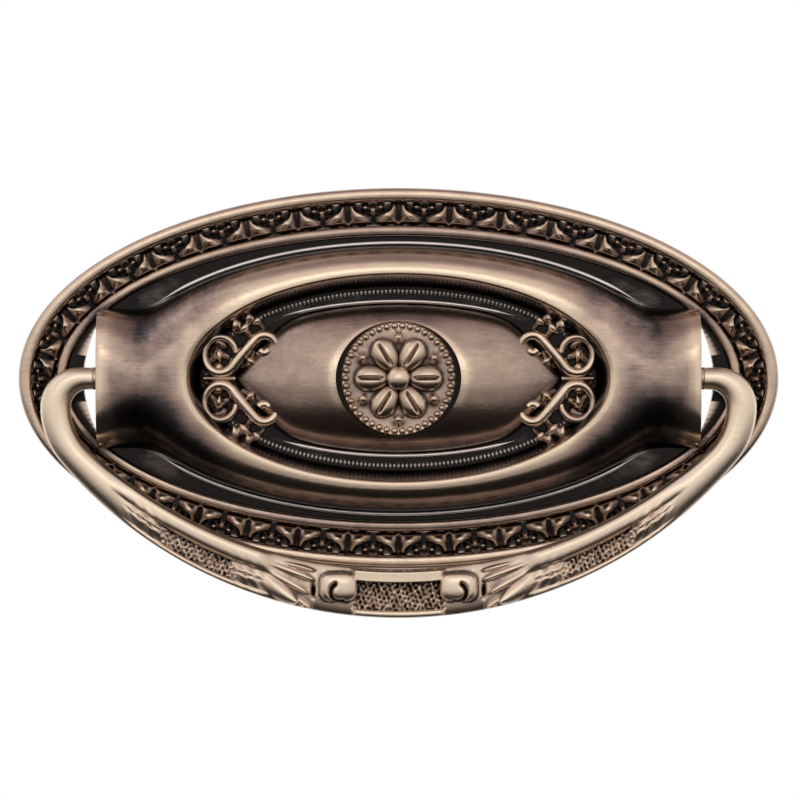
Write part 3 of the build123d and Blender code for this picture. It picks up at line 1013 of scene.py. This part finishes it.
# %% [markdown]
# ## Relief on the bail
# The bow is round behind and carved in front. A thick edge runs along its top and a thin one along its
# bottom, with a stippled bed between them on the arms and in the middle. A volute stands at each end of the
# middle, and a calyx of leaf lobes spreads outward from it. Each of these is a height over the place along
# the bow and across it.

# %% Relief of the bail


def round_section(across):
    """Plain round section of the bail, as a height over its middle plane."""
    return half_thick * np.clip(1 - np.abs(across) ** section_fullness, 0, 1) ** (1 / section_fullness)


def round_ridge(across, at, half, lift):
    """Rounded ridge across the bail's face, a little flat on top."""
    return lift * np.clip(1 - np.abs((across - at) / half) ** 3, 0, 1) ** 0.4


def lobe_ridge(x, z, root, tip, half, lift):
    """Leaf lobe from a root to a tip, widest past its middle and round at its end."""
    run = np.array(tip) - root
    length = math.hypot(*run)
    share = ((x - root[0]) * run[0] + (z - root[1]) * run[1]) / length**2
    off = ((x - root[0]) * run[1] - (z - root[1]) * run[0]) / length
    wide = half * np.clip(1 - np.abs(2 * share - 1.15) ** 2.2, 0.001, 1) ** 0.5
    return lift * np.clip(1 - (off / wide) ** 2, 0, 1) ** 0.5 * (0.55 + 0.45 * np.clip(share, 0, 1))


calyx_lobes = [((17.0, -19.9), (11.3, -23.9), 1.15, 1.6), ((15.6, -19.9), (10.2, -22.9), 0.65, 1.5),
               ((15.4, -19.4), (9.4, -21.6), 0.6, 1.42), ((12.6, -22.6), (9.7, -24.6), 0.5, 1.3),
               ((13.6, -19.6), (9.2, -20.7), 0.4, 1.25)]


def bail_front(x, z, across):
    """Height of the bail's front over its middle plane; across is -1 at the upper edge, 1 at the lower."""
    out = np.abs(x)
    across = across + 0 * x
    plain = round_section(across)
    waves = ((9.1, 4.3), (-5.7, 9.9), (11.3, -7.1), (3.1, 12.7), (-10.9, -6.3), (14.3, 2.9))
    stipple = 0.075 * sum(np.sin(x * wide + z * tall + wide) for wide, tall in waves)

    roll_edge = round_ridge(across, -0.52, 0.48, half_thick)
    rim = round_ridge(across, 0.86, 0.15, 1.05)
    sunk = plateau(out, 17.0, 18.8, 24.2, 26.2)
    bed = np.where(across > -0.3, (0.95 - 0.5 * sunk) * smooth_step(1 - across, 0.0, 0.22), 0)
    bed = bed + stipple * sunk
    leaf_a = bump(out, across, 27.2, 0.22, 2.3, 0.36, 0.75) - bump(out, across, 27.0, 0.22, 2.0, 0.07, 0.3)
    leaf_b = bump(out, across, 16.6, 0.3, 1.9, 0.32, 0.6) - bump(out, across, 16.8, 0.3, 1.7, 0.06, 0.28)
    veined = bump(out, across, 27.2, 0.25, 2.2, 0.4, 1.0) + bump(out, across, 16.6, 0.3, 2.0, 0.4, 1.0)
    veins = 0.12 * np.cos((out + across * 1.6) * 5.0) * veined
    arm = np.maximum.reduce([roll_edge, rim, bed]) + leaf_a + leaf_b + veins

    calyx = plain * 0.62
    for lobe in calyx_lobes:
        calyx = np.maximum(calyx, lobe_ridge(out, z, *lobe))
    fan = calyx - bump(out, z, 9.2, -22.9, 0.2, 0.6, 0.9)

    drop_x, drop_z = out - 6.5, z + 22.5
    swell = np.clip(1 - np.abs(drop_x / 2.1) ** 3 - np.abs(drop_z / 1.65) ** 3, 0, 1) ** 0.28
    ring_x, ring_z = drop_x + 0.2, drop_z + 0.55
    curl_angle = np.degrees(np.arctan2(ring_z, ring_x))
    curl = bell(np.hypot(ring_x, ring_z) - 1.0, 0.2) * plateau(curl_angle, -128, -105, 55, 78)
    volute = 0.4 + 1.5 * swell - 0.9 * curl * (swell > 0)

    bar = 1.3 * plateau(across, -1.0, -0.86, -0.5, -0.4)
    middle_bed = np.where(across < 0.75, 0.45 + stipple * 1.3, 0)
    centre = np.maximum.reduce([bar, middle_bed, round_ridge(across, 0.84, 0.17, 1.0)])

    on_arm = plateau(out, 13.2, 15.2, 27.5, 31.5)
    on_fan = plateau(out, 8.2, 9.0, 13.2, 15.2)
    on_middle = 1 - smooth_step(out, 4.5, 5.2)
    between = 1 - np.clip(on_arm + on_fan + on_middle, 0, 1)
    joint = np.where(out > 20, plain, plain * 0.5)
    face = arm * on_arm + fan * on_fan + centre * on_middle + joint * between
    near_volute = (swell > 0) & (out < 9.0)
    face = np.where(near_volute, np.maximum(face, volute), face)
    return np.maximum(np.minimum(face, 2.0), 0.02) * smooth_step(1 - np.abs(across), 0.0, 0.03)


front_steps, back_steps = 60, 26
front_across = -np.cos(np.linspace(0, math.pi, front_steps, endpoint=False))[None, :]
back_turn = np.linspace(0, math.pi, back_steps, endpoint=False)
back_across = np.cos(back_turn)[None, :]
across = np.hstack([front_across, back_across])
middle = (outer_edge + inner_edge) / 2
half_line = (outer_edge - inner_edge) / 2
bail_x = middle[:, 0:1] + half_line[:, 0:1] * across
bail_z = middle[:, 1:2] + half_line[:, 1:2] * across
front_lift = bail_front(bail_x[:, :front_steps], bail_z[:, :front_steps], front_across)
back_lift = -round_section(back_across) + 0 * middle[:, 0:1]
bail_level = pivot_level + np.hstack([front_lift, back_lift])
print("bail front from", round(float(bail_level.min()), 2), "to", round(float(bail_level.max()), 2), "mm")

# %% [markdown]
# ## Pins and one closed mesh
# The loops turn inward and end as round pins in the sockets, which lets the bail swing. Rings of points
# from one pin round to the other make the whole bail a single closed skin, like the casting.

# %% Pins and mesh of the bail


def pin_rows(side):
    """Rings of a pin from its end to the loop's shoulder, in the same columns as the bail."""
    lift = np.concatenate([np.sqrt(1 - front_across[0] ** 2), -np.sqrt(1 - back_across[0] ** 2)])
    rings = ((pin_end, PINPOINT), (pin_end, 1.0), (pin_end + 0.2, pin_radius), (shoulder - 0.02, pin_radius))
    return [(np.full(across.shape[1], side * place), pivot_level + radius * lift, -radius * across[0])
            for place, radius in rings]


right_pin, left_pin = pin_rows(1), pin_rows(-1)[::-1]
stack = [np.vstack([[row[part] for row in right_pin], grid, [row[part] for row in left_pin]])
         for part, grid in enumerate((bail_x, bail_level, bail_z))]
bail = grid_mesh("bail_casting", *stack)
face_outward(bail, merge=0.0006)
bail_piece = settle(bail, "bail", bail_brass, rounds=14, crease=70)
loop_rub = 0.15 * smooth_step(np.abs(read_points(bail)[:, 0]), 29.0, 33.0)
fine[bail_piece.name] += loop_rub
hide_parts("bail")

# %% [markdown]
# ## Rubbing
# A cloth rubs what it reaches. The front heights of all pieces of a body go on one map, and the map is
# blurred: where a point lies below the blurred map the cloth bridges over it and the dark stays, and where
# it stands above, the metal shows. Together with the finer value of each mesh this gives the relief that
# the finishes read.

# %% Rub the pieces
plate_pieces = [piece for piece in bpy.data.objects if piece.name in fine and piece is not bail_piece]
rub(plate_pieces, fine_scale=0.7, broad_scale=2.6, back=0.24)
rub([bail_piece], fine_scale=0.9, broad_scale=3.5, back=0.5)

# %% [markdown]
# ## Camera and what the metal shows
# The photograph looks straight at the plate from some distance, so the camera has a long lens and stands
# level. The metal shows what stands round it: a soft lamp in front and a little above gives the bright line
# along the crests, the warm room above lights the upper slopes, and the dark below keeps the lower slopes
# nearly black. A white backdrop far behind fills the picture and glints along the edges that turn away.

# %% Camera
camera_data = bpy.data.cameras.new("camera")
camera_data.lens = 250
camera_data.sensor_width = 36
camera = link(camera_data)
picture_pixels, mm_per_pixel = 800, 0.10827
picture_x, picture_z, sharp_level = 0.16, -2.33, 3.0
distance = picture_pixels * mm_per_pixel * camera_data.lens / camera_data.sensor_width
camera.location = (picture_x * MM, -(distance + sharp_level) * MM, picture_z * MM)
camera.rotation_euler = (math.radians(90), 0, 0)
camera_data.clip_start = 0.01
bpy.context.scene.camera = camera
print("camera", round(distance), "mm in front")

# %% [markdown]
# ## Backdrop and floor
# The picture has a white ground. A backdrop far behind shows plain white to the camera and to shiny
# surfaces, and lights nothing else. The floor is pale and low behind, and in front it starts only some way
# off, so that little of it shows in the metal and a view from behind still has a pale ground.

# %% Backdrop and floor


def panel(name, corners, finish, faces=((0, 1, 2, 3),)):
    """Flat panel of the stage, in metres, with four sides unless its faces are given."""
    mesh = bpy.data.meshes.new(name)
    mesh.from_pydata(corners, [], faces)
    mesh.materials.append(finish)
    piece = link(mesh)


def matt(name, tone):
    """Plain matt material in one grey; gives it with its node tree and its shader."""
    material, tree, shader = new_material(name)
    shader.inputs["Base Color"].default_value = (tone, tone, tone, 1)
    shader.inputs["Roughness"].default_value = 0.9
    return material, tree, shader


pale = matt("pale floor", 0.58)[0]
white, tree, paint = matt("white backdrop", 0.9)
rays = add_node(tree, "ShaderNodeLightPath").outputs
glow = add_node(tree, "ShaderNodeEmission", Color=(1, 1, 1, 1), Strength=1.0)
seen = calculate(tree, "ADD", rays["Is Camera Ray"], rays["Is Glossy Ray"])
seen_all = calculate(tree, "ADD", seen, rays["Is Transmission Ray"], use_clamp=True)
mixed = add_node(tree, "ShaderNodeMixShader", {0: seen_all, 1: paint, 2: glow})
tree.links.new(mixed.outputs[0], tree.nodes["Material Output"].inputs["Surface"])

left, right, front, back, low, top = -5, 5, 0.3, 1.6, -1.2, 1.4
panel("floor", [(left, front, low), (right, front, low), (right, back, low), (left, back, low)], pale)
ring_reach, ring_level = (0.95, 4.0), -0.45
sweep = [math.radians(angle) for angle in range(-110, 111, 10)]
ring_corners = [(reach * math.sin(turn), -reach * math.cos(turn), ring_level)
                for turn in sweep for reach in ring_reach]
ring_faces = [(step, step + 1, step + 3, step + 2) for step in range(0, 2 * len(sweep) - 2, 2)]
panel("floor in front", ring_corners, pale, ring_faces)
panel("backdrop", [(left, back, low), (right, back, low), (right, back, top), (left, back, top)], white)
print("stage: a floor, a half ring of floor in front and a backdrop")

# %% [markdown]
# ## Room light and lamps
# A curved metal face shows a strip of the room, from the ceiling on its upper side to the floor on its
# lower side. The room is therefore a ramp over the height of the view: dark below, bright at the level of
# the eye, warm above. A soft lamp adds the line along the crests, and a weak blue one the cool edge that
# the photograph shows.

# %% Room light and lamps
world = bpy.data.worlds.new("studio")
world.use_nodes = True
tree = world.node_tree
way = add_node(tree, "ShaderNodeTexCoord").outputs["Generated"]
parts = add_node(tree, "ShaderNodeSeparateXYZ", {"Vector": way}).outputs
rise = add_node(tree, "ShaderNodeMapRange", {"Value": parts["Z"], "From Min": -1.0})
room = add_node(tree, "ShaderNodeValToRGB", {"Fac": rise})
room_tones = [(0.405, (0.014, 0.013, 0.012)), (0.455, (0.80, 0.755, 0.70)), (0.60, (0.80, 0.755, 0.70)),
              (0.74, (0.84, 0.765, 0.73)), (0.90, (0.80, 0.69, 0.67)), (0.985, (0.36, 0.29, 0.29))]
set_ramp(room, room_tones)
ahead = add_node(tree, "ShaderNodeMapRange", {"Value": parts["Y"], "From Min": -0.3, "From Max": -0.95,
                                              "To Min": 0.88, "To Max": 1.08})
dimmed = add_node(tree, vectors, {0: room, "Scale": ahead}, operation="SCALE")
tree.links.new(dimmed.outputs[0], tree.nodes["Background"].inputs["Color"])
bpy.context.scene.world = world
bpy.context.scene.view_settings.view_transform = "Standard"


def softbox(name, place, size, power, colour):
    """Rectangular soft lamp at a place, turned towards the pull."""
    lamp = bpy.data.lights.new(name, "AREA")
    lamp.shape = "RECTANGLE"
    lamp.size, lamp.size_y = size
    lamp.energy = power
    lamp.color = colour
    holder = link(lamp)
    holder.location = place
    holder.rotation_euler = (-Vector(place)).to_track_quat("-Z", "Y").to_euler()


softbox("key", (0.0, -0.86, 0.26), (0.6, 0.22), 0.3, (1.0, 0.95, 0.87))
softbox("blue fill", (-0.7, -0.3, 0.75), (0.5, 0.7), 0.4, (0.8, 0.9, 1.0))
print("lamps:", [lamp.name for lamp in bpy.data.lights])
